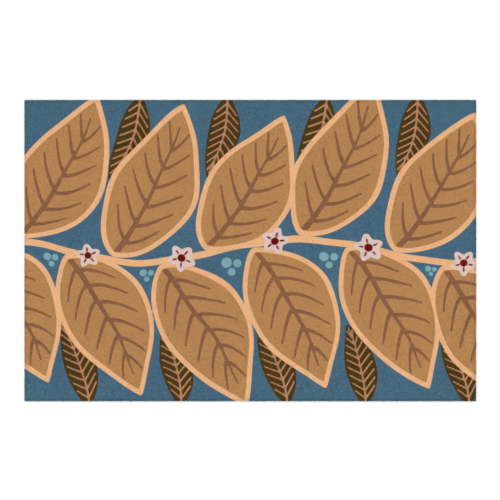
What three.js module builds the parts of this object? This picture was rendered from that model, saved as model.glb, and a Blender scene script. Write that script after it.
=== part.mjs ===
// A rectangular plush rug, lying flat: one cut length of short-pile cloth on its own backing.
// Millimetres, +Z up. The origin is on the floor under the middle of the rug, and +X runs along its length.
import * as THREE from "three";

// Driving dimensions
const LENGTH = 900;
const WIDTH = 600;
const BACKING_HEIGHT = 2;
const PILE_HEIGHT = 7;
const CORNER_RADIUS = 4;
const CORNER_DIVISIONS = 4;

// The rug's edge in section, from the floor up: how far each level is drawn in from the full plan, and how high it is.
// The pile leans out over the cut edge of the backing and rolls over to the flat top.
const EDGE_SECTION = [
  { level: "backing, on the floor", inset: 1.5, height: 0 },
  { level: "root of the pile", inset: 0.5, height: BACKING_HEIGHT },
  { level: "pile at its widest", inset: 0, height: BACKING_HEIGHT + 0.3 * PILE_HEIGHT },
  { level: "shoulder of the pile", inset: 0.35, height: BACKING_HEIGHT + 0.63 * PILE_HEIGHT },
  { level: "turn of the pile", inset: 1.25, height: BACKING_HEIGHT + 0.87 * PILE_HEIGHT },
  { level: "rim of the flat top", inset: 3, height: BACKING_HEIGHT + PILE_HEIGHT },
];

// Dyed polyester plush, in the colour that covers most of the rug.
const plush = new THREE.MeshStandardMaterial({
  name: "plush",
  color: 0xb28252,
  roughness: 0.95,
  metalness: 0,
});

/** The rug's plan outline, counter-clockwise, drawn in from its full size by `inset` on every side. */
function planOutline(inset) {
  const radius = CORNER_RADIUS - inset;
  const cornerX = LENGTH / 2 - CORNER_RADIUS;
  const cornerY = WIDTH / 2 - CORNER_RADIUS;
  const quarter = Math.PI / 2;
  const outline = new THREE.Shape();
  outline.absarc(cornerX, cornerY, radius, 0, quarter);
  outline.absarc(-cornerX, cornerY, radius, quarter, 2 * quarter);
  outline.absarc(-cornerX, -cornerY, radius, 2 * quarter, 3 * quarter);
  outline.absarc(cornerX, -cornerY, radius, 3 * quarter, 4 * quarter);
  return outline.getPoints(CORNER_DIVISIONS);
}

/** A closed solid through one plan outline for each row of a section, with a flat cap at either end. */
function loftedSlab(section) {
  const rings = section.map((row) => planOutline(row.inset));
  const count = rings[0].length;
  const positions = [];
  const triangles = [];

  rings.forEach((ring, level) => {
    ring.forEach((point) => positions.push(point.x, point.y, section[level].height));
  });

  for (let level = 0; level + 1 < rings.length; level++) {
    for (let i = 0; i < count; i++) {
      const next = (i + 1) % count;
      const here = level * count;
      const above = here + count;
      triangles.push(here + i, here + next, above + next);
      triangles.push(here + i, above + next, above + i);
    }
  }

  const top = (rings.length - 1) * count;
  for (const [a, b, c] of THREE.ShapeUtils.triangulateShape(rings[0], [])) {
    triangles.push(a, c, b);
  }
  for (const [a, b, c] of THREE.ShapeUtils.triangulateShape(rings.at(-1), [])) {
    triangles.push(top + a, top + b, top + c);
  }

  const slab = new THREE.BufferGeometry();
  slab.setAttribute("position", new THREE.Float32BufferAttribute(positions, 3));
  slab.setIndex(triangles);
  slab.computeVertexNormals();
  return slab;
}

const rug = new THREE.Mesh(loftedSlab(EDGE_SECTION), plush);
rug.name = "plush_rug";

const part = new THREE.Group();
part.add(rug);

export default part;
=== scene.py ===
"""A plush rug that lies flat: a printed cut pile on a woven backing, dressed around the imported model.

The rug is one cut length of cloth. Its body is a thin slab with the backing underneath and the bed of
the pile on top, and the pile itself is many small locks of fibre that stand on the bed and lean out over
the cut edge. The print, a trail of large leaves on a blue ground, is worked out from short tables. It is
kept on each mesh as depths inside its shapes, which the material turns into dyes. Lengths are in metres,
and the tables of the print are in millimetres.
"""

import logging
import math
from abc import ABC, abstractmethod
from collections.abc import Mapping, Sequence
from dataclasses import dataclass, field
from enum import Enum
from typing import ClassVar

import bpy
import numpy as np
from numpy.typing import ArrayLike
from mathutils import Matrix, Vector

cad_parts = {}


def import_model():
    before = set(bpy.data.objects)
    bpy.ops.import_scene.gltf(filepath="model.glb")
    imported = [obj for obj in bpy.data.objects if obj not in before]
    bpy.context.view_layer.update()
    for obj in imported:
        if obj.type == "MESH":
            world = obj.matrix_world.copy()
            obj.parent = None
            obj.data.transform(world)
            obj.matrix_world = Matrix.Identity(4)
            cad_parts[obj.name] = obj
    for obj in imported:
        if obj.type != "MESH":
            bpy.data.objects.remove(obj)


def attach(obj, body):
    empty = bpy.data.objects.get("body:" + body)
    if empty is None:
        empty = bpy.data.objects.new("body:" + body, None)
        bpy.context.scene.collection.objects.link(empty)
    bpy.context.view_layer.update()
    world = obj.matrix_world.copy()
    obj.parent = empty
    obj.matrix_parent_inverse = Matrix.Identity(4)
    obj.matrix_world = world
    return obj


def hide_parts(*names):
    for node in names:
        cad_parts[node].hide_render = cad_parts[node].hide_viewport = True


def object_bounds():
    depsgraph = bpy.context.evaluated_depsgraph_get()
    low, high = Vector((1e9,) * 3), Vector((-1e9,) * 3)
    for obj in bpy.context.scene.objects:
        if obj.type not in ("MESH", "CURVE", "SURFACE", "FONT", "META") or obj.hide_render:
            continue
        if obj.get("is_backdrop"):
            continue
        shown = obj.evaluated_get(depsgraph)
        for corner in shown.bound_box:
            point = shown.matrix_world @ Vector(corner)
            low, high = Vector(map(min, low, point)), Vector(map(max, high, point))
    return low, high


LOG = logging.getLogger("plush_rug")
MM = 0.001
FULL_TURN = 2 * math.pi
RUG_NODE = "plush_rug"
RUG_BODY = "root"

# The attribute with each lock's random dye tone and the painted shade of the edge locks, in steps of the
# material's contrast.
LOCK_TONE_AND_EDGE_SHADE = "lock_tone_and_edge_shade"
# The name of the map that lays each pile strip out as seen from straight above, for baking its colours.
BAKE_MAP = "OFBake"
# Nearly all of Blender's noise lies between these values.
NOISE_RANGE = (0.25, 0.75)
# How many finer layers lie on the coarsest one, in noise for strands and in noise for patches.
STRAND_DETAIL = 3.0
PATCH_DETAIL = 2.0
# A Mix node has sockets for each kind of value. These are the numbers of those that mix colours.
MIX_SHARE, MIX_FROM, MIX_TO, MIX_RESULT = 0, 6, 7, 2


class Dye(Enum):
    """The dyes of the print, as sRGB hex values of the dyed fibre."""

    SLATE_BLUE = "#547a91"
    CAMEL = "#c89962"
    PEACH = "#f3c798"
    CHESTNUT = "#a06f4f"
    OLIVE = "#594110"
    RUSSET = "#cb9872"
    BLUSH = "#ebd6ce"
    MAROON = "#7c0705"
    AQUA = "#92bdc2"


class PrintShape(Enum):
    """The shapes of the print. A value is the name of the attribute that holds the depth inside it."""

    SPRIG = "sprig"
    SPRIG_VEIN = "sprig_vein"
    STEM = "stem"
    LEAF = "leaf"
    LEAF_VEIN = "leaf_vein"
    PETAL = "petal"
    FLOWER_HEART = "flower_heart"
    BERRY = "berry"


class Side(Enum):
    """The two sides of the stem. A value is 1 up the rug and -1 down it."""

    UPPER = 1
    LOWER = -1


@dataclass(frozen=True)
class PrintStep:
    """One pass of the printing: a dye laid inside a shape.

    Attributes:
        shape: The shape that is filled.
        dye: The dye that fills it.
        inset: How far inside the shape's edge the dye starts.
    """

    shape: PrintShape
    dye: Dye
    inset: float = 0.0


GROUND = Dye.SLATE_BLUE
LEAF_EDGING = 9.8 * MM
PRINT_STEPS = (
    PrintStep(PrintShape.SPRIG, Dye.OLIVE),
    PrintStep(PrintShape.SPRIG_VEIN, Dye.RUSSET),
    PrintStep(PrintShape.STEM, Dye.PEACH),
    PrintStep(PrintShape.LEAF, Dye.PEACH),
    PrintStep(PrintShape.LEAF, Dye.CAMEL, LEAF_EDGING),
    PrintStep(PrintShape.LEAF_VEIN, Dye.CHESTNUT),
    PrintStep(PrintShape.PETAL, Dye.BLUSH),
    PrintStep(PrintShape.FLOWER_HEART, Dye.MAROON),
    PrintStep(PrintShape.BERRY, Dye.AQUA),
)


def linear_colour(hex_colour: str) -> tuple[float, float, float, float]:
    """Turns an sRGB hex value into linear light.

    Args:
        hex_colour: A colour such as "#46667b".

    Returns:
        Red, green and blue as linear values, and an alpha of one.
    """
    channels = [int(hex_colour[at : at + 2], 16) / 255 for at in (1, 3, 5)]
    red, green, blue = (c / 12.92 if c <= 0.04045 else ((c + 0.055) / 1.055) ** 2.4 for c in channels)
    return red, green, blue, 1.0


def add_node(
    tree: bpy.types.NodeTree,
    kind: str,
    inputs: Mapping[str | int, object] | None = None,
    **settings: object,
) -> bpy.types.Node:
    """Adds a node with its settings, and sets or links its inputs.

    Args:
        tree: The node tree that gets the node.
        kind: The node's Blender type.
        inputs: For each socket, by name or number, a value, the output that is linked to it, or a node
            whose first output is linked to it.
        settings: Values for the node's own properties.

    Returns:
        The new node.
    """
    node = tree.nodes.new(kind)
    for name, value in settings.items():
        setattr(node, name, value)
    for socket, value in (inputs or {}).items():
        source = value.outputs[0] if isinstance(value, bpy.types.Node) else value
        if isinstance(source, bpy.types.NodeSocket):
            tree.links.new(source, node.inputs[socket])
        else:
            node.inputs[socket].default_value = source
    return node


def edit_only(parts: bpy.types.bpy_prop_collection, chosen: Sequence[bool], kind: str) -> None:
    """Enters edit mode on the active mesh, with only the chosen parts of it selected.

    Args:
        parts: The mesh's vertices or its edges.
        chosen: For each of them, whether it is selected.
        kind: Blender's name for such parts, "VERT" or "EDGE".
    """
    bpy.ops.object.mode_set(mode="EDIT")
    bpy.ops.mesh.select_mode(type=kind)
    bpy.ops.mesh.select_all(action="DESELECT")
    bpy.ops.object.mode_set(mode="OBJECT")
    parts.foreach_set("select", chosen)
    bpy.ops.object.mode_set(mode="EDIT")


class Finish(ABC):
    """A surface's finish, which makes a material of its own.

    Attributes:
        NAME: The material's name, which says what it is.
    """

    NAME: ClassVar[str]

    @abstractmethod
    def shader(self, tree: bpy.types.NodeTree) -> bpy.types.Node:
        """Adds the finish's nodes.

        Args:
            tree: The material's node tree.

        Returns:
            The shader that the surface shows.
        """

    def material(self) -> bpy.types.Material:
        """Makes the material.

        Returns:
            A material that holds the finish's nodes alone.
        """
        material = bpy.data.materials.new(self.NAME)
        material.use_nodes = True
        tree = material.node_tree
        tree.nodes.clear()
        add_node(tree, "ShaderNodeOutputMaterial", {"Surface": self.shader(tree)})
        return material


@dataclass(frozen=True)
class PrintedPlush(Finish):
    """Cut polyester plush, sheared, heat-set and transfer-printed.

    The sheared tips scatter light softly, with hardly any gloss and a faint sheen at low angles. The dye
    takes a little unevenly from lock to lock, which shows on dark dyes and hardly on pale ones, and its
    edges bleed by about a fibre's length. The colour also carries painted shade on the locks that point out
    over the edge, and painted light and shade in wide patches where the pile was brushed.

    Attributes:
        bleed: Half the width over which one dye gives way to the next.
        lock_contrast: How much lighter or darker one lock is than the next, as a share, on the darkest dye,
            and one step of the painted edge shade.
        mottle_size: Size of the small uneven patches of dye, about that of a tuft of yarn.
        mottle_contrast: How strong those patches are, likewise.
        nap_size: Size of the wide patches of painted light and shade where the pile was brushed one way or
            another.
        nap_painted_shade: How strong that painted light and shade is, likewise.
        fibre_size: Size of a strand in a lock, drawn several times as thick as a fibre so that it shows.
        fibre_relief: How far such a strand stands out.
        fibre_contrast: How much lighter or darker it is than the next, likewise.
        white_contrast: How much of all this contrast would be left on white fibre, as a share.
        roughness: The least and the most rough.
        ior: Refractive index of polyester.
        gloss: How much of a smooth surface's gloss is left on the cut tips.
        sheen: Strength of the sheen.
        sheen_roughness: How far the sheen spreads.
    """

    NAME = "printed_polyester_plush"

    bleed: float = 0.7 * MM
    lock_contrast: float = 0.13
    mottle_size: float = 3.0 * MM
    mottle_contrast: float = 0.44
    nap_size: float = 120.0 * MM
    nap_painted_shade: float = 0.11
    fibre_size: float = 0.4 * MM
    fibre_relief: float = 0.3 * MM
    fibre_contrast: float = 0.3
    white_contrast: float = 0.011
    roughness: tuple[float, float] = (0.82, 0.95)
    ior: float = 1.57
    gloss: float = 0.03
    sheen: float = 0.12
    sheen_roughness: float = 0.45

    def shader(self, tree: bpy.types.NodeTree) -> bpy.types.Node:
        """Adds the plush's nodes.

        Args:
            tree: The material's node tree.

        Returns:
            The shader, coloured by the print and by the locks' tone.
        """
        place = add_node(tree, "ShaderNodeTexCoord").outputs["Object"]
        printed = self.dyes(tree)
        paleness = add_node(tree, "ShaderNodeRGBToBW", {"Color": printed})
        left = add_node(tree, "ShaderNodeMath", {0: self.white_contrast, 1: paleness}, operation="POWER")
        brightness = add_node(
            tree,
            "ShaderNodeMath",
            {0: self.unevenness(tree, place), 1: left, 2: 1.0},
            operation="MULTIPLY_ADD",
        )
        # The dyes made lighter or darker: by uneven dye, by painted shade on the edge locks and by painted
        # light and shade in the nap patches.
        dyed = add_node(
            tree, "ShaderNodeVectorMath", {"Vector": printed, "Scale": brightness}, operation="SCALE"
        )
        fibres = add_node(
            tree,
            "ShaderNodeTexNoise",
            {"Vector": place, "Scale": 1 / self.fibre_size, "Detail": STRAND_DETAIL},
        )
        fuzz = add_node(tree, "ShaderNodeBump", {"Height": fibres, "Distance": self.fibre_relief})
        rough = add_node(
            tree,
            "ShaderNodeMapRange",
            {"Value": fibres, "To Min": self.roughness[0], "To Max": self.roughness[1]},
        )
        return add_node(
            tree,
            "ShaderNodeBsdfPrincipled",
            {
                "Base Color": dyed,
                "Roughness": rough,
                "Normal": fuzz,
                "IOR": self.ior,
                "Specular IOR Level": self.gloss,
                "Sheen Weight": self.sheen,
                "Sheen Roughness": self.sheen_roughness,
            },
        )

    def dyes(self, tree: bpy.types.NodeTree) -> bpy.types.NodeSocket:
        """Adds the print: each dye over the ones before it, where its shape is deep enough.

        Args:
            tree: The material's node tree.

        Returns:
            The socket with the dyes' colour.
        """
        colour = linear_colour(GROUND.value)
        for step in PRINT_STEPS:
            depth = add_node(tree, "ShaderNodeAttribute", attribute_name=step.shape.value)
            cover = add_node(
                tree,
                "ShaderNodeMapRange",
                {
                    "Value": depth.outputs["Fac"],
                    "From Min": step.inset - self.bleed,
                    "From Max": step.inset + self.bleed,
                },
                interpolation_type="SMOOTHSTEP",
            )
            laid = add_node(
                tree,
                "ShaderNodeMix",
                {MIX_SHARE: cover, MIX_FROM: colour, MIX_TO: linear_colour(step.dye.value)},
                data_type="RGBA",
            )
            colour = laid.outputs[MIX_RESULT]
        return colour

    def unevenness(self, tree: bpy.types.NodeTree, place: bpy.types.NodeSocket) -> bpy.types.Node:
        """Adds how the colour varies: uneven dye by lock, in patches and by strand, with painted shade on
        the edge locks and painted light and shade in wide brushed patches.

        Args:
            tree: The material's node tree.
            place: The socket with the place on the rug.

        Returns:
            The node that gives how much lighter or darker than the dye each place is, as a share.
        """
        # The locks' tone: uneven dye, with painted shade on the locks that point out over the edge.
        tone = add_node(tree, "ShaderNodeAttribute", attribute_name=LOCK_TONE_AND_EDGE_SHADE).outputs["Fac"]
        total = add_node(tree, "ShaderNodeMath", {0: tone, 1: self.lock_contrast}, operation="MULTIPLY")
        # The wide nap patches are painted light and shade, for pile brushed different ways; the others are
        # uneven dye.
        for size, contrast in (
            (self.mottle_size, self.mottle_contrast),
            (self.nap_size, self.nap_painted_shade),
            (self.fibre_size, self.fibre_contrast),
        ):
            patches = add_node(
                tree, "ShaderNodeTexNoise", {"Vector": place, "Scale": 1 / size, "Detail": PATCH_DETAIL}
            )
            change = add_node(
                tree,
                "ShaderNodeMapRange",
                {
                    "Value": patches,
                    "From Min": NOISE_RANGE[0],
                    "From Max": NOISE_RANGE[1],
                    "To Min": -contrast,
                    "To Max": contrast,
                },
            )
            total = add_node(tree, "ShaderNodeMath", {0: total, 1: change}, operation="ADD")
        return total


@dataclass(frozen=True)
class BackingWeave(Finish):
    """Plain-woven polyester backing, undyed and sized.

    A close, dull cloth of one over, one under, whose threads show as a fine even grid of crowns with
    painted shade between them.

    Attributes:
        thread: Spacing of the threads, drawn half as wide again as real ones so that the weave shows.
        slub_size: Size of the stretches where a thread is thicker or thinner.
        light: Colour of a thread's crown, where no painted shade falls.
        dark: Colour between the threads, which is painted shade.
        relief: How far a crown stands out.
        roughness: How rough the threads are.
        ior: Refractive index of polyester.
        gloss: How much of a smooth surface's gloss is left on the threads.
    """

    NAME = "woven_polyester_backing"

    thread: float = 1.8 * MM
    slub_size: float = 12.0 * MM
    light: str = "#e3dccd"
    dark: str = "#a89d8a"
    relief: float = 0.3 * MM
    roughness: float = 0.9
    ior: float = 1.57
    gloss: float = 0.2

    def shader(self, tree: bpy.types.NodeTree) -> bpy.types.Node:
        """Adds the weave's nodes.

        Args:
            tree: The material's node tree.

        Returns:
            The shader.
        """
        place = add_node(tree, "ShaderNodeTexCoord").outputs["Object"]
        axes = add_node(tree, "ShaderNodeSeparateXYZ", {0: place})
        waves = []
        for axis in ("X", "Y"):
            turns = add_node(
                tree,
                "ShaderNodeMath",
                {0: axes.outputs[axis], 1: math.pi / self.thread},
                operation="MULTIPLY",
            )
            waves.append(add_node(tree, "ShaderNodeMath", {0: turns}, operation="SINE"))
        # Where two threads cross, the one on top makes one rounded crown.
        crossed = add_node(tree, "ShaderNodeMath", {0: waves[0], 1: waves[1]}, operation="MULTIPLY")
        crown = add_node(tree, "ShaderNodeMath", {0: crossed}, operation="ABSOLUTE")
        slub = add_node(
            tree,
            "ShaderNodeTexNoise",
            {"Vector": place, "Scale": 1 / self.slub_size, "Detail": STRAND_DETAIL},
        )
        # Painted shade: the colour runs from the light crowns to the dark between the threads, and the
        # slubs vary it along each thread.
        painted_light_and_slub = add_node(tree, "ShaderNodeMath", {0: crown, 1: slub}, operation="MULTIPLY")
        colour = add_node(
            tree,
            "ShaderNodeMix",
            {MIX_SHARE: painted_light_and_slub, MIX_FROM: linear_colour(self.dark), MIX_TO: linear_colour(self.light)},
            data_type="RGBA",
        )
        bump = add_node(tree, "ShaderNodeBump", {"Height": crown, "Distance": self.relief})
        return add_node(
            tree,
            "ShaderNodeBsdfPrincipled",
            {
                "Base Color": colour.outputs[MIX_RESULT],
                "Roughness": self.roughness,
                "Normal": bump,
                "IOR": self.ior,
                "Specular IOR Level": self.gloss,
            },
        )


@dataclass(frozen=True)
class StudioPaper(Finish):
    """Seamless white background paper, matt and even.

    Attributes:
        colour: The paper's white.
        roughness: How rough it is.
        gloss: How much of a smooth surface's gloss it has.
    """

    NAME = "matt_background_paper"

    colour: str = "#fcfcfb"
    roughness: float = 0.9
    gloss: float = 0.1

    def shader(self, tree: bpy.types.NodeTree) -> bpy.types.Node:
        """Adds the paper's nodes.

        Args:
            tree: The material's node tree.

        Returns:
            The shader.
        """
        return add_node(
            tree,
            "ShaderNodeBsdfPrincipled",
            {
                "Base Color": linear_colour(self.colour),
                "Roughness": self.roughness,
                "Specular IOR Level": self.gloss,
            },
        )


@dataclass(frozen=True)
class Leaf:
    """One leaf of the print, lying in the plane of the rug.

    Attributes:
        root: Where its stalk starts.
        length: From the root to the tip, in a straight line.
        width: Across the blade at its widest.
        heading: Where it points, in degrees from +X.
        bend: How far its midrib bows to the left, as a share of its length.
        fullness: Below one, the blade is fuller and widest below its middle.
    """

    root: tuple[float, float]
    length: float
    width: float
    heading: float
    bend: float
    fullness: float = 0.82

    def half_width(self, share: ArrayLike) -> np.ndarray:
        """Gives half the blade's width at a share of its length."""
        swell = np.sin(math.pi * np.asarray(share) ** self.fullness).clip(0)
        return self.width / 2 * swell**self.fullness

    def place(self, share: ArrayLike, aside: ArrayLike) -> np.ndarray:
        """Finds points on the leaf.

        Args:
            share: How far along the midrib, from 0 at the root to 1 at the tip.
            aside: How far to the left of the midrib.

        Returns:
            One row of x and y for each point.
        """
        share = np.asarray(share, float)
        turn = math.radians(self.heading)
        along = share * self.length
        # The midrib bows as a parabola, by its whole bend half way along.
        bow = 4 * share * (1 - share) * self.bend * self.length
        across = np.asarray(aside, float) + bow
        x = self.root[0] + along * math.cos(turn) - across * math.sin(turn)
        y = self.root[1] + along * math.sin(turn) + across * math.cos(turn)
        return np.stack([x, y], -1)

    def outline(self, steps: int = 32) -> np.ndarray:
        """Draws the blade's edge, up one side and down the other.

        Args:
            steps: Points along each side, closest together at the root and the tip.

        Returns:
            One row of x and y for each point of the closed outline.
        """
        share = (1 - np.cos(np.linspace(0, math.pi, steps))) / 2
        back = share[-2:0:-1]
        right = self.place(share, -self.half_width(share))
        left = self.place(back, self.half_width(back))
        return np.concatenate([right, left])


@dataclass(frozen=True)
class Veins:
    """How the veins of a leaf are drawn. Shares are of the leaf's length where nothing else is said.

    Attributes:
        shape: The shape that the veins make.
        blade: The shape of the leaf's blade.
        clearance: How far inside the blade's edge the veins stay.
        midrib_end: Where the midrib ends.
        midrib: Half the midrib's width at the root and at its end.
        pairs: How many pairs of side veins there are.
        first: Where the lowest pair leaves the midrib.
        step: From one pair to the next.
        stagger: How much higher than the right vein of a pair the left one starts.
        sweep: How far up the leaf a side vein runs.
        curl: How late it turns up the leaf: 1 for a straight vein, more for a curved one.
        spread: How far out it runs, as a share of half the blade's width there.
        stroke: Half a side vein's width at the midrib and at its end.
    """

    shape: PrintShape
    blade: PrintShape
    clearance: float
    midrib_end: float
    midrib: tuple[float, float]
    pairs: int
    first: float
    step: float
    stagger: float
    sweep: float
    curl: float
    spread: float
    stroke: tuple[float, float]


LEAF_VEINS = Veins(
    shape=PrintShape.LEAF_VEIN,
    blade=PrintShape.LEAF,
    clearance=LEAF_EDGING + 2.0 * MM,
    midrib_end=0.86,
    midrib=(6.0 * MM, 2.0 * MM),
    pairs=6,
    first=0.11,
    step=0.12,
    stagger=0.02,
    sweep=0.15,
    curl=1.5,
    spread=0.66,
    stroke=(4.1 * MM, 1.9 * MM),
)
SPRIG_VEINS = Veins(
    shape=PrintShape.SPRIG_VEIN,
    blade=PrintShape.SPRIG,
    clearance=2.0 * MM,
    midrib_end=0.95,
    midrib=(2.0 * MM, 1.3 * MM),
    pairs=9,
    first=0.08,
    step=0.09,
    stagger=0.0,
    sweep=0.12,
    curl=1.0,
    spread=0.82,
    stroke=(1.6 * MM, 1.5 * MM),
)


@dataclass(frozen=True)
class UnsteadyHand:
    """The small unevenness of shapes that were drawn by hand.

    Attributes:
        slow_sway: How far lines sway slowly.
        slow_wave: Length of one slow sway.
        drift: Length over which the slow sway falls out of step.
        quick_sway: How far lines sway more quickly.
        quick_wave: Length of one quick sway.
    """

    slow_sway: float = 2.2 * MM
    slow_wave: float = 190.0 * MM
    drift: float = 310.0 * MM
    quick_sway: float = 1.4 * MM
    quick_wave: float = 130.0 * MM

    def moved(self, along: np.ndarray, across: np.ndarray) -> np.ndarray:
        """Sways places along one axis of the rug.

        Args:
            along: The places on that axis.
            across: The places on the other axis.

        Returns:
            The swayed places on the first axis.
        """
        slow = np.sin(FULL_TURN * along / self.slow_wave + np.sin(FULL_TURN * across / self.drift))
        quick = np.sin(FULL_TURN * across / self.quick_wave)
        return along + self.slow_sway * slow + self.quick_sway * quick


class PrintBoard:
    """Points of the rug, and how deep each one lies inside the shapes that are laid on them.

    Attributes:
        REACH: How far outside a shape its depths are still worked out.
        FAR: The depth at points further away than that.
        x: The points' places along the rug, as the hand that drew the print sees them.
        y: Their places across it, likewise.
        depths: For each shape, how deep every point lies inside it, below zero outside.
    """

    REACH = 6.0 * MM
    FAR = -1.0

    def __init__(self, points: np.ndarray, hand: UnsteadyHand) -> None:
        """Takes the points, with no shape laid on them yet.

        Args:
            points: One row of x and y for each point.
            hand: The hand that draws the print.
        """
        self.x = hand.moved(points[:, 0], points[:, 1])
        self.y = hand.moved(points[:, 1], points[:, 0])
        self.depths = {shape: np.full(len(points), self.FAR) for shape in PrintShape}

    def near(self, corners: np.ndarray, reach: float) -> np.ndarray:
        """Lists the points within a shape's box, widened on every side.

        Args:
            corners: Points of the shape.
            reach: How far past the box a point may be.

        Returns:
            The numbers of those points.
        """
        low = corners.min(0) - reach
        high = corners.max(0) + reach
        inside = (self.x > low[0]) & (self.x < high[0]) & (self.y > low[1]) & (self.y < high[1])
        return np.flatnonzero(inside)

    def raise_to(self, shape: PrintShape, found: np.ndarray, depth: np.ndarray) -> None:
        """Keeps the greater of a shape's depth so far and a new one, at the points that were found."""
        self.depths[shape][found] = np.maximum(self.depths[shape][found], depth)

    def keep_inside(self, shape: PrintShape, outer: PrintShape, clearance: float) -> None:
        """Cuts a shape off where it comes closer than the clearance to the edge of an outer one."""
        self.depths[shape] = np.minimum(self.depths[shape], self.depths[outer] - clearance)

    def from_line(
        self, found: np.ndarray, start: np.ndarray, end: np.ndarray
    ) -> tuple[np.ndarray, np.ndarray]:
        """Measures points from a straight line.

        Args:
            found: The numbers of the points.
            start: One end of the line.
            end: The other end.

        Returns:
            Each point's distance from the line, and the share of the line at the nearest place.
        """
        run = end - start
        ahead_x = self.x[found] - start[0]
        ahead_y = self.y[found] - start[1]
        share = ((ahead_x * run[0] + ahead_y * run[1]) / (run @ run)).clip(0, 1)
        return np.hypot(ahead_x - share * run[0], ahead_y - share * run[1]), share

    def lay_stroke(
        self, shape: PrintShape, line: np.ndarray, half_widths: Sequence[float] | np.ndarray
    ) -> None:
        """Lays a brush stroke.

        Args:
            shape: The shape that the stroke belongs to.
            line: Points that the stroke follows.
            half_widths: Half the stroke's width at each point.
        """
        reach = max(half_widths) + self.REACH
        for start, end, first, last in zip(line[:-1], line[1:], half_widths[:-1], half_widths[1:]):
            found = self.near(np.array([start, end]), reach)
            distance, share = self.from_line(found, start, end)
            self.raise_to(shape, found, first + share * (last - first) - distance)

    def lay_outline(self, shape: PrintShape, outline: np.ndarray) -> None:
        """Lays a filled outline.

        Args:
            shape: The shape that the outline belongs to.
            outline: Points of the closed outline.
        """
        found = self.near(outline, self.REACH)
        x, y = self.x[found], self.y[found]
        nearest = np.full(len(found), np.inf)
        inside = np.zeros(len(found), bool)
        for start, end in zip(outline, np.roll(outline, -1, 0)):
            nearest = np.minimum(nearest, self.from_line(found, start, end)[0])
            if start[1] != end[1]:
                crosses = (start[1] > y) != (end[1] > y)
                slope = (end[0] - start[0]) / (end[1] - start[1])
                inside ^= crosses & (x < start[0] + slope * (y - start[1]))
        self.raise_to(shape, found, np.where(inside, nearest, -nearest))

    def lay_round(
        self,
        shape: PrintShape,
        middle: np.ndarray,
        radius: float,
        petals: int = 0,
        parting: float = 0.0,
        turn: float = 0.0,
    ) -> None:
        """Lays a disc, or a rosette where it has petals.

        Args:
            shape: The shape that the disc belongs to.
            middle: Its centre.
            radius: From the centre to the edge, or to the tip of a petal.
            petals: How many petals it has.
            parting: How far the edge draws in between the petals, as a share of the radius.
            turn: Turns the petals, in radians.
        """
        found = self.near(middle[None], radius + self.REACH)
        ahead_x = self.x[found] - middle[0]
        ahead_y = self.y[found] - middle[1]
        wave = np.cos(petals * (np.arctan2(ahead_y, ahead_x) - turn))
        edge = radius * (1 - parting * (1 - wave) / 2)
        self.raise_to(shape, found, edge - np.hypot(ahead_x, ahead_y))


@dataclass(frozen=True)
class LeafRow:
    """A large leaf of the trail, in millimetres and degrees.

    Attributes:
        at: Where it grows, along the rug from its middle.
        length: From its root to its tip.
        rise: How steeply it leaves the rug's length.
    """

    at: float
    length: float
    rise: float


@dataclass(frozen=True)
class FlowerRow:
    """A flower on the stem, in millimetres and degrees.

    Attributes:
        at: Where it sits, along the rug from its middle.
        radius: From its centre to a petal's tip.
        turn: How far its petals are turned.
    """

    at: float
    radius: float
    turn: float


@dataclass(frozen=True)
class ClusterRow:
    """A cluster of berries under the stem, in millimetres.

    Attributes:
        at: Where it is, along the rug from its middle.
        up: Where it is, up the rug from its middle.
        radius: From its centre to the furthest berry's edge.
    """

    at: float
    up: float
    radius: float


@dataclass(frozen=True)
class BerryRow:
    """A berry of a cluster, in shares of the cluster's radius.

    Attributes:
        ahead: How far along the rug it is from the cluster's centre.
        up: How far up the rug it is from there.
        radius: The berry's own radius.
    """

    ahead: float
    up: float
    radius: float


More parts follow.
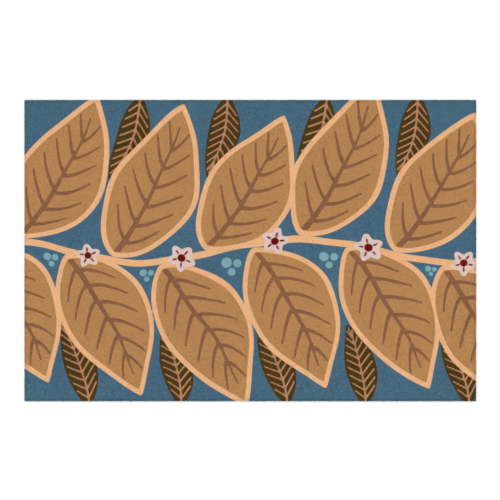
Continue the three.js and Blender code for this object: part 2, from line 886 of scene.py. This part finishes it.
@dataclass(frozen=True)
class LeafTrailPrint:
    """The print: a trail of large leaves along a waving stem, with sprigs, flowers and berries.

    Attributes:
        half_width: Half the rug's width, from which the sprigs hang.
        upper: The large leaves above the stem.
        lower: The large leaves below it.
        leaf_width: Across a large leaf at its widest.
        leaf_bend: How far its midrib bows towards the stem, as a share of its length.
        stalk: From the stem's middle to a large leaf's root.
        stem_end: How far from the rug's middle the stem runs, past the rug's edge.
        stem_width: The stem's width.
        stem_swing: How far the stem swings up and down the rug.
        stem_wave: Length of one such swing.
        stem_start: Where in its swing the stem is at the rug's middle, in radians.
        stem_points: How many points the stem is drawn through.
        sprig_ahead: From a large leaf's tip to the root of the sprig beside it, along the rug.
        sprig_overhang: How far outside the rug's edge that root lies.
        sprig_length: A sprig's length, and how much longer or shorter every other one is.
        sprig_width: Its width.
        sprig_heading: Degrees between the rug's length and a sprig, and how much every other one differs.
        sprig_bend: How far its midrib bows, as a share of its length.
        flowers: The flowers on the stem.
        petals: How many petals a flower has.
        petal_parting: How far its edge draws in between them, as a share of its radius.
        heart: Radius of its heart, as a share of its own.
        ray: Where the ray on a petal starts and ends, as shares of the flower's radius.
        ray_stroke: Half the ray's width at either end.
        clusters: The clusters of berries.
        berries: The berries of each cluster.
        hand: The hand that draws it all.
    """

    half_width: float
    upper: tuple[LeafRow, ...] = (
        LeafRow(-462, 322, 60),
        LeafRow(-276, 338, 64),
        LeafRow(-90, 312, 59),
        LeafRow(98, 338, 63),
        LeafRow(286, 322, 59),
    )
    lower: tuple[LeafRow, ...] = (
        LeafRow(-556, 318, 61),
        LeafRow(-368, 318, 62),
        LeafRow(-182, 328, 58),
        LeafRow(6, 315, 63),
        LeafRow(192, 328, 60),
        LeafRow(380, 318, 62),
    )
    leaf_width: float = 174 * MM
    leaf_bend: float = 0.052
    stalk: float = 8 * MM
    stem_end: float = 480 * MM
    stem_width: float = 14 * MM
    stem_swing: float = 24 * MM
    stem_wave: float = 620 * MM
    stem_start: float = 0.6
    stem_points: int = 60
    sprig_ahead: float = 82 * MM
    sprig_overhang: float = 8 * MM
    sprig_length: tuple[float, float] = (176 * MM, 8 * MM)
    sprig_width: float = 60 * MM
    sprig_heading: tuple[float, float] = (107, 3)
    sprig_bend: float = 0.06
    flowers: tuple[FlowerRow, ...] = (
        FlowerRow(-322, 25, 23),
        FlowerRow(-136, 29, 48),
        FlowerRow(52, 27, 2),
        FlowerRow(238, 30, 27),
        FlowerRow(426, 28, 53),
    )
    petals: int = 5
    petal_parting: float = 0.34
    heart: float = 0.28
    ray: tuple[float, float] = (0.42, 0.64)
    ray_stroke: tuple[float, float] = (2.1 * MM, 1.6 * MM)
    clusters: tuple[ClusterRow, ...] = (
        ClusterRow(-399, -18, 17),
        ClusterRow(-209, -48, 16),
        ClusterRow(-40, -32, 22),
        ClusterRow(154, -16, 21),
        ClusterRow(357, -41, 13),
    )
    berries: tuple[BerryRow, ...] = (
        BerryRow(-0.48, 0.22, 0.46),
        BerryRow(0.5, 0.16, 0.38),
        BerryRow(-0.02, -0.62, 0.34),
    )
    hand: UnsteadyHand = UnsteadyHand()

    def on_stem(self, x: ArrayLike) -> np.ndarray:
        """Finds points on the stem's middle line.

        Args:
            x: Their places along the rug.

        Returns:
            One row of x and y for each point.
        """
        x = np.asarray(x, float)
        y = self.stem_swing * np.sin(FULL_TURN * x / self.stem_wave + self.stem_start)
        return np.stack([x, y], -1)

    def leaves(self, side: Side) -> list[Leaf]:
        """Works out the large leaves on one side of the stem.

        Args:
            side: The side.

        Returns:
            The leaves, from left to right.
        """
        way = side.value
        leaves = []
        for row in self.upper if side is Side.UPPER else self.lower:
            x, y = self.on_stem(row.at * MM)
            root = (x, y + way * self.stalk)
            bend = -way * self.leaf_bend
            leaves.append(Leaf(root, row.length * MM, self.leaf_width, way * row.rise, bend))
        return leaves

    def sprigs(self, side: Side) -> list[Leaf]:
        """Works out the small dark leaves on one side, which come in from the rug's edge.

        Args:
            side: The side.

        Returns:
            One sprig beside the tip of each large leaf.
        """
        way = side.value
        sprigs = []
        for number, leaf in enumerate(self.leaves(side)):
            other = (-1) ** number
            tip_x = leaf.place(1.0, 0.0)[0]
            root = (tip_x + self.sprig_ahead, way * (self.half_width + self.sprig_overhang))
            length = self.sprig_length[0] + other * self.sprig_length[1]
            heading = -way * (self.sprig_heading[0] + other * self.sprig_heading[1])
            sprigs.append(Leaf(root, length, self.sprig_width, heading, way * self.sprig_bend))
        return sprigs

    def lay_leaf(self, board: PrintBoard, leaf: Leaf, veins: Veins, steps: int = 8) -> None:
        """Lays a leaf's blade with its midrib and side veins.

        Args:
            board: The points that the print is laid on.
            leaf: The leaf.
            veins: How its veins are drawn.
            steps: Points along each vein.
        """
        board.lay_outline(veins.blade, leaf.outline())
        share = np.linspace(0, veins.midrib_end, steps)
        board.lay_stroke(veins.shape, leaf.place(share, 0 * share), np.linspace(*veins.midrib, steps))
        reach = np.linspace(0, 1, steps)
        for pair in range(veins.pairs):
            start = veins.first + veins.step * pair
            aside = veins.spread * leaf.half_width(min(start + veins.sweep, 1.0))
            for way, later in ((1, veins.stagger), (-1, 0.0)):
                line = leaf.place(start + later + veins.sweep * reach**veins.curl, way * aside * reach)
                board.lay_stroke(veins.shape, line, np.linspace(*veins.stroke, steps))

    def lay_flower(self, board: PrintBoard, row: FlowerRow) -> None:
        """Lays a flower on the stem: its petals, its heart and a ray on each petal.

        Args:
            board: The points that the print is laid on.
            row: The flower.
        """
        middle = self.on_stem(row.at * MM)
        radius = row.radius * MM
        turn = math.radians(row.turn)
        board.lay_round(PrintShape.PETAL, middle, radius, self.petals, self.petal_parting, turn)
        board.lay_round(PrintShape.FLOWER_HEART, middle, self.heart * radius)
        for petal in range(self.petals):
            angle = turn + FULL_TURN * petal / self.petals
            line = middle + np.outer(self.ray, (radius * math.cos(angle), radius * math.sin(angle)))
            board.lay_stroke(PrintShape.FLOWER_HEART, line, self.ray_stroke)

    def lay_cluster(self, board: PrintBoard, row: ClusterRow) -> None:
        """Lays a cluster of berries.

        Args:
            board: The points that the print is laid on.
            row: The cluster.
        """
        for berry in self.berries:
            x = row.at + berry.ahead * row.radius
            y = row.up + berry.up * row.radius
            board.lay_round(PrintShape.BERRY, np.array([x, y]) * MM, berry.radius * row.radius * MM)

    def depths(self, points: np.ndarray) -> dict[PrintShape, np.ndarray]:
        """Works out the print at places on the rug.

        Args:
            points: One row of x and y for each place.

        Returns:
            For each shape, how deep every place lies inside it, below zero outside.
        """
        board = PrintBoard(points, self.hand)
        stem = self.on_stem(np.linspace(-self.stem_end, self.stem_end, self.stem_points))
        board.lay_stroke(PrintShape.STEM, stem, [self.stem_width / 2] * len(stem))
        for side in Side:
            for leaf in self.leaves(side):
                self.lay_leaf(board, leaf, LEAF_VEINS)
            for sprig in self.sprigs(side):
                self.lay_leaf(board, sprig, SPRIG_VEINS)
        for flower in self.flowers:
            self.lay_flower(board, flower)
        for cluster in self.clusters:
            self.lay_cluster(board, cluster)
        for veins in (LEAF_VEINS, SPRIG_VEINS):
            board.keep_inside(veins.shape, veins.blade, veins.clearance)
        return board.depths

    def dress(self, mesh: bpy.types.Mesh) -> None:
        """Keeps the print's depths on a mesh, one attribute for each shape.

        Args:
            mesh: The mesh, whose vertices are in the rug's own frame.
        """
        places = np.empty(len(mesh.vertices) * 3, np.float32)
        mesh.vertices.foreach_get("co", places)
        depths = self.depths(places.reshape(-1, 3)[:, :2].astype(float))
        for shape, depth in depths.items():
            attribute = mesh.attributes.new(shape.value, "FLOAT", "POINT")
            attribute.data.foreach_set("value", depth.astype(np.float32))


@dataclass(frozen=True)
class RugForm:
    """The rug's sizes, which the cloth and the pile share.

    Attributes:
        length: The rug's size along X.
        width: Its size along Y.
        height: From the floor to the tips of the pile.
        roll: Radius of the pile's turn over the edge, at the tips.
        bed_roll: Radius of the same turn at the roots.
        backing: Height of the backing's top.
    """

    length: float
    width: float
    height: float
    roll: float = 4.0 * MM
    bed_roll: float = 1.6 * MM
    backing: float = 2.0 * MM

    @property
    def roll_height(self) -> float:
        """Height of the middle of the turn over the edge."""
        return self.height - self.roll

    @property
    def bed(self) -> float:
        """Height of the bed that the pile stands on."""
        return self.roll_height + self.bed_roll

    @property
    def pile(self) -> float:
        """Length of the pile, from the bed to the tips."""
        return self.roll - self.bed_roll


@dataclass
class RugCloth:
    """The rug's body: the backing underneath, and the bed of the pile on top of it.

    Attributes:
        form: The rug's sizes.
        cell: Size of the bed's faces, fine enough to hold the print.
        roll_steps: How many rows of faces turn the bed over the edge.
        lip_inset: How far the backing's top edge is drawn in from the rug's full plan.
        backing_inset: How far the backing is drawn in at the floor.
        corner: Radius of the corners.
        corner_steps: How many faces turn each corner.
        crease: Edges sharper than this stay sharp, in degrees.
        same: Lengths closer than this are the same.
    """

    form: RugForm
    cell: float = 3.0 * MM
    roll_steps: int = 4
    lip_inset: float = 0.7 * MM
    backing_inset: float = 1.5 * MM
    corner: float = 3.0 * MM
    corner_steps: int = 3
    crease: float = 50.0
    same: float = 0.01 * MM

    def section(self) -> list[tuple[float, float]]:
        """Lists the edge's section below the rim of the bed.

        Returns:
            For each level, from the top down, how far it is drawn in and how high it is.
        """
        form = self.form
        angles = np.linspace(math.pi / 2, 0, self.roll_steps + 1)[1:]
        rows = [
            (form.roll - form.bed_roll * math.cos(a), form.roll_height + form.bed_roll * math.sin(a))
            for a in angles
        ]
        rows.append((form.pile, form.backing))
        rows.append((self.lip_inset, form.backing))
        rows.append((self.backing_inset, 0.0))
        return rows

    def build(self, plush: bpy.types.Material, backing: bpy.types.Material) -> bpy.types.Object:
        """Builds the cloth and gives its faces their materials.

        Args:
            plush: Material of the bed and its turned edge.
            backing: Material of the backing.

        Returns:
            The cloth.
        """
        cloth = self.model_slab()
        self.round_corners(cloth)
        mesh = cloth.data
        mesh.materials.append(plush)
        mesh.materials.append(backing)
        for face in mesh.polygons:
            top = max(mesh.vertices[v].co.z for v in face.vertices)
            face.material_index = int(top < self.form.backing + self.same)
        bpy.ops.object.shade_smooth_by_angle(angle=math.radians(self.crease))
        return cloth

    def model_slab(self) -> bpy.types.Object:
        """Models the slab: a grid for the bed, whose rim is drawn down and out to the backing.

        Returns:
            The slab, with square corners.
        """
        form = self.form
        length = form.length - 2 * form.roll
        width = form.width - 2 * form.roll
        height = form.bed
        bpy.ops.object.select_all(action="DESELECT")
        bpy.ops.mesh.primitive_grid_add(
            x_subdivisions=round(length / self.cell),
            y_subdivisions=round(width / self.cell),
            size=1,
            location=(0, 0, height),
        )
        slab = bpy.context.object
        slab.name = slab.data.name = "rug_cloth"
        slab.scale = (length, width, 1)
        bpy.ops.object.transform_apply(location=True, rotation=True, scale=True)
        bpy.ops.object.mode_set(mode="EDIT")
        bpy.ops.mesh.select_mode(type="EDGE")
        bpy.ops.mesh.select_all(action="SELECT")
        bpy.ops.mesh.region_to_loop()
        for inset, next_height in self.section():
            next_length = form.length - 2 * inset
            next_width = form.width - 2 * inset
            bpy.ops.mesh.extrude_edges_move(TRANSFORM_OT_translate={"value": (0, 0, next_height - height)})
            bpy.ops.transform.resize(
                value=(next_length / length, next_width / width, 1), center_override=(0, 0, 0)
            )
            length, width, height = next_length, next_width, next_height
        bpy.ops.mesh.edge_face_add()
        bpy.ops.mesh.select_all(action="SELECT")
        bpy.ops.mesh.normals_make_consistent(inside=False)
        bpy.ops.object.mode_set(mode="OBJECT")
        return slab

    def round_corners(self, slab: bpy.types.Object) -> None:
        """Bevels the four upright corners, which lie on the plan's diagonals, and merges doubled points.

        Args:
            slab: The slab with square corners.
        """
        form = self.form
        mesh = slab.data
        diagonal = (form.length - form.width) / 2
        inside_rim = form.width / 2 - form.roll - self.cell / 2
        at_corner = [
            abs(v.co.y) > inside_rim and abs(abs(v.co.x) - abs(v.co.y) - diagonal) < self.same
            for v in mesh.vertices
        ]
        corner_edges = [all(at_corner[v] for v in edge.vertices) for edge in mesh.edges]
        edit_only(mesh.edges, corner_edges, "EDGE")
        bpy.ops.mesh.bevel(
            offset=self.corner, segments=self.corner_steps, affect="EDGES", offset_type="OFFSET"
        )
        bpy.ops.mesh.select_all(action="SELECT")
        bpy.ops.mesh.remove_doubles(threshold=self.same)
        bpy.ops.object.mode_set(mode="OBJECT")


@dataclass
class CutPile:
    """The pile: pointed locks of fibre that stand close together on the bed and lean out over the edge.

    Attributes:
        form: The rug's sizes.
        pitch: Spacing of the locks.
        scatter: How far a lock may stand from its even place, as a share of the pitch.
        sides: How many sides a lock has.
        radius: Radius of a lock at its root.
        lean: How far its tip is drawn to one side.
        splay: How much further from its axis, or closer to it, each of its points may be, as a share.
        sunk: How far its root goes into the bed.
        uneven: How much shorter than the longest a lock on the flat may be.
        edge_angles: For each row of locks over the edge, degrees above the level.
        edge_scatter: How far from that angle a lock may point, in degrees.
        edge_reach: How much further out than an even turn those rows lean, as a factor.
        painted_edge_shade: How much darker a lock that points straight out is made, as painted shade, in
            steps of tone.
        square: How far the fan of locks at a corner fills it out. 0 leaves it round and 1 makes it square,
            and a little more makes up for the pointed tips.
        corner_extra: How many more locks than the pitch asks for are in that fan.
        rim_gap: From where the turn over the edge starts to the outermost locks on the flat.
        tone_limit: How light or dark a lock may be at most, in steps of tone.
        strips: How many pieces the pile is made in, side by side.
        seed: Where the random draws start.
        rng: The random draws.
    """

    form: RugForm
    pitch: float = 1.8 * MM
    scatter: float = 0.4
    sides: int = 3
    radius: float = 1.12 * MM
    lean: float = 0.65 * MM
    splay: float = 0.4
    sunk: float = 0.3 * MM
    uneven: float = 0.7 * MM
    edge_angles: tuple[float, ...] = (-54, -38, -24, -13, -5, 3, 11, 22, 36, 50, 65, 80)
    edge_scatter: float = 14.0
    edge_reach: float = 1.33
    painted_edge_shade: float = 1.5
    square: float = 1.1
    corner_extra: int = 2
    rim_gap: float = 0.6 * MM
    tone_limit: float = 2.5
    strips: int = 5
    seed: int = 61
    rng: np.random.Generator = field(init=False)

    def __post_init__(self) -> None:
        """Starts the random draws from the seed, so that every run gives the same pile."""
        self.rng = np.random.default_rng(self.seed)

    def model_lock(self) -> tuple[np.ndarray, np.ndarray]:
        """Models one lock, rooted at the origin and one long, as a cone whose tip is drawn aside.

        Returns:
            The lock's points, and its triangles as rows of point numbers.
        """
        half_length = 0.5
        bpy.ops.object.select_all(action="DESELECT")
        bpy.ops.mesh.primitive_cone_add(
            vertices=self.sides,
            radius1=self.radius,
            radius2=0,
            depth=2 * half_length,
            end_fill_type="NGON",
            location=(0, 0, half_length),
        )
        lock = bpy.context.object
        mesh = lock.data
        bpy.ops.object.transform_apply(location=True, rotation=True, scale=True)
        edit_only(mesh.vertices, [vertex.co.z > half_length for vertex in mesh.vertices], "VERT")
        bpy.ops.transform.translate(value=(self.lean, 0, 0))
        bpy.ops.object.mode_set(mode="OBJECT")
        points = np.array([vertex.co for vertex in mesh.vertices])
        triangles = np.array([face.vertices for face in mesh.polygons])
        bpy.data.objects.remove(lock)
        bpy.data.meshes.remove(mesh)
        return points, triangles

    def on_the_flat(self) -> tuple[np.ndarray, np.ndarray]:
        """Places locks in staggered rows on the flat of the bed.

        Returns:
            Their roots, and the ways that they point.
        """
        form = self.form
        inset = form.roll + self.rim_gap
        half_length = form.length / 2 - inset
        half_width = form.width / 2 - inset
        # Staggered rows this far apart put every lock at one pitch from its neighbours.
        row_pitch = self.pitch * math.sqrt(3) / 2
        columns = np.linspace(-half_length, half_length, round(2 * half_length / self.pitch))
        rows = np.linspace(-half_width, half_width, round(2 * half_width / row_pitch))
        x, y = np.meshgrid(columns, rows)
        x[1::2] += self.pitch / 2
        spread = self.scatter * self.pitch
        x = (x + self.rng.uniform(-spread, spread, x.shape)).ravel().clip(-half_length, half_length)
        y = (y + self.rng.uniform(-spread, spread, y.shape)).ravel().clip(-half_width, half_width)
        roots = np.stack([x, y, np.full(x.shape, form.bed - self.sunk)], -1)
        ways = np.tile((0.0, 0.0, 1.0), (len(roots), 1))
        return roots, ways

    def over_the_edge(self) -> tuple[np.ndarray, np.ndarray]:
        """Places locks in rows around the turned edge, pointing straight out of the turn.

        Returns:
            Their roots, and the ways that they point.
        """
        form = self.form
        roots, ways = [], []
        for degrees in self.edge_angles:
            place, out = self.rim_places()
            scatter = self.rng.uniform(-self.edge_scatter, self.edge_scatter, (len(place), 1))
            angle = np.radians(degrees + scatter)
            way = np.concatenate([self.edge_reach * np.cos(angle) * out, np.sin(angle)], 1)
            middle = np.insert(place, 2, form.roll_height, axis=1)
            roots.append(middle + (form.bed_roll - self.sunk) * way)
            ways.append(way)
        return np.concatenate(roots), np.concatenate(ways)

    def rim_places(self) -> tuple[np.ndarray, np.ndarray]:
        """Walks round the middle of the turned edge, with a fan of locks at each corner.

        Returns:
            The places in plan, and the outward way at each, which is longer than one at a corner.
        """
        form = self.form
        half_length = form.length / 2 - form.roll
        half_width = form.width / 2 - form.roll
        quarter_turn = math.pi / 2
        fan = round(quarter_turn * form.roll / self.pitch) + self.corner_extra
        swing = np.linspace(0, quarter_turn, fan + 1)[1:-1]
        # Locks in the fan reach further than those on the sides, and the one on the diagonal furthest.
        fill = 1 + self.square * (1 / np.maximum(np.cos(swing), np.sin(swing)) - 1)
        places, outs = [], []
        for quarter in range(4):
            turn = quarter * quarter_turn
            out = np.array([math.cos(turn), math.sin(turn)])
            side = np.array([-out[1], out[0]])
            reach, run = (half_length, half_width) if quarter % 2 == 0 else (half_width, half_length)
            count = round(2 * run / self.pitch)
            steps = np.linspace(-run, run, count)
            steps[1:-1] += self.rng.uniform(-self.pitch / 2, self.pitch / 2, count - 2)
            places.append(reach * out + steps[:, None] * side)
            outs.append(np.tile(out, (count, 1)))
            places.append(np.tile(reach * out + run * side, (len(swing), 1)))
            outs.append(np.outer(fill * np.cos(swing), out) + np.outer(fill * np.sin(swing), side))
        return np.concatenate(places), np.concatenate(outs)

    def lock_points(self, template: np.ndarray, roots: np.ndarray, ways: np.ndarray) -> np.ndarray:
        """Stands a copy of the lock on each root, turned and drawn out of shape at random.

        Args:
            template: One lock's points.
            roots: Where each lock starts.
            ways: Where each lock points.

        Returns:
            The points of all the locks, by lock, point and axis.
        """
        count = len(roots)
        # Two ways across each lock, square to it and to each other, are spun about it at random.
        upright = np.abs(ways[:, 2:]) > np.linalg.norm(ways[:, :2], axis=1, keepdims=True)
        helper = np.where(upright, (1.0, 0.0, 0.0), (0.0, 0.0, 1.0))
        first = np.cross(helper, ways)
        first /= np.linalg.norm(first, axis=1, keepdims=True)
        second = np.cross(ways, first)
        second /= np.linalg.norm(second, axis=1, keepdims=True)
        spin = self.rng.uniform(0, FULL_TURN, (count, 1))
        across = first * np.cos(spin) + second * np.sin(spin)
        aside = second * np.cos(spin) - first * np.sin(spin)
        # The edge was cut with a blade, so the locks over it are of one length.
        uneven = self.uneven * np.abs(ways[:, 2:]).clip(0, 1)
        length = self.form.pile + self.sunk - uneven * self.rng.uniform(0, 1, (count, 1))
        splay = self.rng.uniform(1 - self.splay, 1 + self.splay, (count, len(template), 1))
        # The template is one long, so its heights are shares of a lock's length.
        x, y, share = template.T[:, None, :, None]
        off_axis = splay * (x * across[:, None] + y * aside[:, None])
        return roots[:, None] + off_axis + share * (length * ways)[:, None]

    def build(self, plush: bpy.types.Material, design: LeafTrailPrint) -> list[bpy.types.Object]:
        """Builds the pile in strips along the rug, each one joined mesh of locks.

        Args:
            plush: The pile's material.
            design: The print.

        Returns:
            The strips, from the near edge to the far one.
        """
        template, triangles = self.model_lock()
        places = zip(self.on_the_flat(), self.over_the_edge())
        roots, ways = (np.concatenate(both) for both in places)
        points = self.lock_points(template, roots, ways)
        tones_and_edge_shade = self.rng.normal(0, 1, len(roots)).clip(-self.tone_limit, self.tone_limit)
        # Painted shade: the flatter a lock points out over the edge, the darker it is made.
        tones_and_edge_shade -= self.painted_edge_shade * (1 - np.abs(ways[:, 2]).clip(0, 1))
        order = np.argsort(roots[:, 1], kind="stable")
        pieces = []
        for number, chosen in enumerate(np.array_split(order, self.strips), 1):
            piece = self.strip(f"pile_strip_{number}", points[chosen], triangles)
            tone = piece.data.attributes.new(LOCK_TONE_AND_EDGE_SHADE, "FLOAT", "POINT")
            tone.data.foreach_set("value", np.repeat(tones_and_edge_shade[chosen], len(template)).astype(np.float32))
            piece.data.materials.append(plush)
            design.dress(piece.data)
            pieces.append(piece)
        return pieces

    def strip(self, name: str, points: np.ndarray, triangles: np.ndarray) -> bpy.types.Object:
        """Joins locks into one mesh, mapped for baking as it is seen from straight above.

        Args:
            name: The piece's name.
            points: The locks' points, by lock, point and axis.
            triangles: One lock's triangles.

        Returns:
            The piece.
        """
        count, corners = points.shape[:2]
        first_points = corners * np.arange(count)[:, None, None]
        every_triangle = (first_points + triangles).reshape(-1, 3).astype(np.int32)
        mesh = bpy.data.meshes.new(name)
        mesh.from_pydata(points.reshape(-1, 3).astype(np.float32), [], every_triangle, shade_flat=False)
        plan = points[..., :2].reshape(-1, 2)
        on_map = (plan - plan.min(0)) / np.ptp(plan, axis=0)
        bake_map = mesh.uv_layers.new(name=BAKE_MAP)
        bake_map.uv.foreach_set("vector", on_map[every_triangle.ravel()].astype(np.float32).ravel())
        piece = bpy.data.objects.new(name, mesh)
        bpy.context.collection.objects.link(piece)
        return piece


@dataclass
class Studio:
    """The plain room around the rug: white paper, soft light and a camera straight above.

    Attributes:
        form: The rug's sizes.
        picture: The picture's width, in pixels.
        shown_length: The rug's length in the picture, in pixels.
        shown_middle: Where the rug's middle is in the picture, in pixels from its upper left corner.
        lens: The camera's focal length, in millimetres, long enough to show the rug without perspective.
        sensor: Width of the camera's sensor, in millimetres.
        floor_size: Size of the paper, in metres.
        surround: Strength of the surround.
        surround_colour: Its white.
        key: Strength of the broad light, in watts to the square metre.
        key_spread: How wide the broad light is, in degrees.
        key_tilt: How far it is turned from straight above, about X and about Y, in degrees.
    """

    form: RugForm
    picture: float = 500.0
    shown_length: float = 451.9
    shown_middle: tuple[float, float] = (250.3, 250.6)
    lens: float = 100.0
    sensor: float = 36.0
    floor_size: float = 12.0
    surround: float = 1.065
    surround_colour: str = "#ffffff"
    key: float = 0.66
    key_spread: float = 70.0
    key_tilt: tuple[float, float] = (-16.0, -14.0)

    def camera(self) -> None:
        """Hangs the camera over the rug, looking straight down, and makes it the scene's camera."""
        pixel = self.form.length / self.shown_length
        distance = self.picture * pixel * self.lens / self.sensor
        data = bpy.data.cameras.new("camera")
        data.lens = self.lens
        data.sensor_width = self.sensor
        camera = bpy.data.objects.new("camera", data)
        camera.location = (
            (self.picture / 2 - self.shown_middle[0]) * pixel,
            (self.shown_middle[1] - self.picture / 2) * pixel,
            self.form.height + distance,
        )
        bpy.context.collection.objects.link(camera)
        bpy.context.scene.camera = camera

    def floor(self) -> bpy.types.Object:
        """Lays the paper that the rug lies on.

        Returns:
            The floor.
        """
        bpy.ops.object.select_all(action="DESELECT")
        bpy.ops.mesh.primitive_plane_add(size=self.floor_size)
        floor = bpy.context.object
        floor.name = "floor"
        floor.data.materials.append(StudioPaper().material())
        return floor

    def light(self) -> None:
        """Sets an even white surround and one broad light from the upper left."""
        scene = bpy.context.scene
        scene.view_settings.view_transform = "Standard"
        world = bpy.data.worlds.new("white_surround")
        world.use_nodes = True
        background = world.node_tree.nodes["Background"]
        background.inputs["Color"].default_value = linear_colour(self.surround_colour)
        background.inputs["Strength"].default_value = self.surround
        scene.world = world
        data = bpy.data.lights.new("broad_light", "SUN")
        data.energy = self.key
        data.angle = math.radians(self.key_spread)
        lamp = bpy.data.objects.new("broad_light", data)
        lamp.rotation_euler = (math.radians(self.key_tilt[0]), math.radians(self.key_tilt[1]), 0)
        bpy.context.collection.objects.link(lamp)


def main() -> None:
    """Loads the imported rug, dresses it and declares every piece."""
    logging.basicConfig(level=logging.INFO, format="%(name)s: %(message)s")
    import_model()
    low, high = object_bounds()
    form = RugForm(high[0] - low[0], high[1] - low[1], high[2] - low[2])

    studio = Studio(form)
    studio.camera()
    studio.light()
    studio.floor()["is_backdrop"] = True

    design = LeafTrailPrint(form.width / 2)
    plush = PrintedPlush().material()
    cloth = RugCloth(form).build(plush, BackingWeave().material())
    design.dress(cloth.data)
    strips = CutPile(form).build(plush, design)

    for piece in (cloth, *strips):
        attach(piece, RUG_BODY)
        piece.data.calc_loop_triangles()
        LOG.info("%s has %d triangles", piece.name, len(piece.data.loop_triangles))
    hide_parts(RUG_NODE)

    low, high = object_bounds()


if __name__ == "__main__":
    main()
